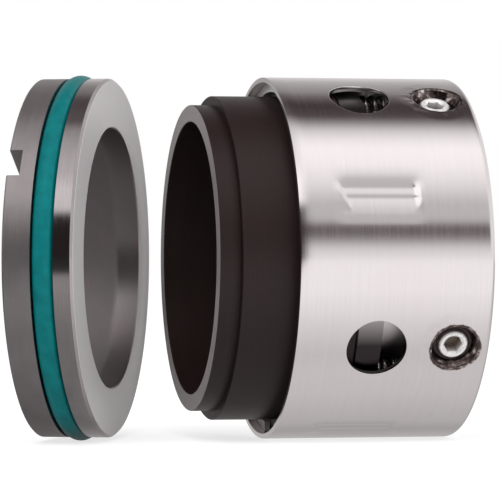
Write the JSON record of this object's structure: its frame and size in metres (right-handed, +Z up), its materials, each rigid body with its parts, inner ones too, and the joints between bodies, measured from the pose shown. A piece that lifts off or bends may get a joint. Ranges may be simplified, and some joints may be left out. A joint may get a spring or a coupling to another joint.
{
  "type": "mechanical seal",
  "caption": "Multi-spring mechanical shaft seal: a spring-loaded rotating head in a pressed steel shell, with its stationary mating ring.",
  "frame": {"origin": "on the shaft axis where the drive collar's bore begins, just inside its rear lead-in chamfer", "axes": "+X along the shaft from the sealing face to the drive end, +Z up, the picture's side is -Y"},
  "size_m": [0.0866, 0.0678, 0.0662],
  "materials": {
    "shell_steel": "brushed round the shell",
    "collar_steel": "turned",
    "screw_steel": "satin",
    "spring_steel": "bright drawn wire",
    "carbon": "machined carbon, lapped nose",
    "seat_ceramic": "ground, lapped face",
    "elastomer": "smooth teal elastomer"
  },
  "bodies": {
    "retainer": {"retainer_shell": "shell_steel", "drive_collar": "collar_steel", "set_screws": "screw_steel", "snap_ring": "spring_steel", "spring_01": "spring_steel", "spring_02": "spring_steel", "spring_03": "spring_steel", "spring_04": "spring_steel", "spring_05": "spring_steel", "spring_06": "spring_steel", "spring_07": "spring_steel", "spring_08": "spring_steel", "spring_09": "spring_steel", "spring_10": "spring_steel", "spring_11": "spring_steel", "spring_12": "spring_steel", "mating_ring": "seat_ceramic", "seat_o_ring": "elastomer"},
    "face_unit": {"primary_ring": "carbon", "shaft_o_ring": "elastomer", "thrust_ring": "collar_steel"}
  },
  "joints": [
    {"name": "face_float", "type": "slide", "parent": "retainer", "child": "face_unit", "axis": [1, 0, 0], "range_m": [0, 0.003], "stiffness_N_per_m": 10000, "springref_m": -0.002, "deforming": ["spring_01", "spring_02", "spring_03", "spring_04", "spring_05", "spring_06", "spring_07", "spring_08", "spring_09", "spring_10", "spring_11", "spring_12"]}
  ]
}
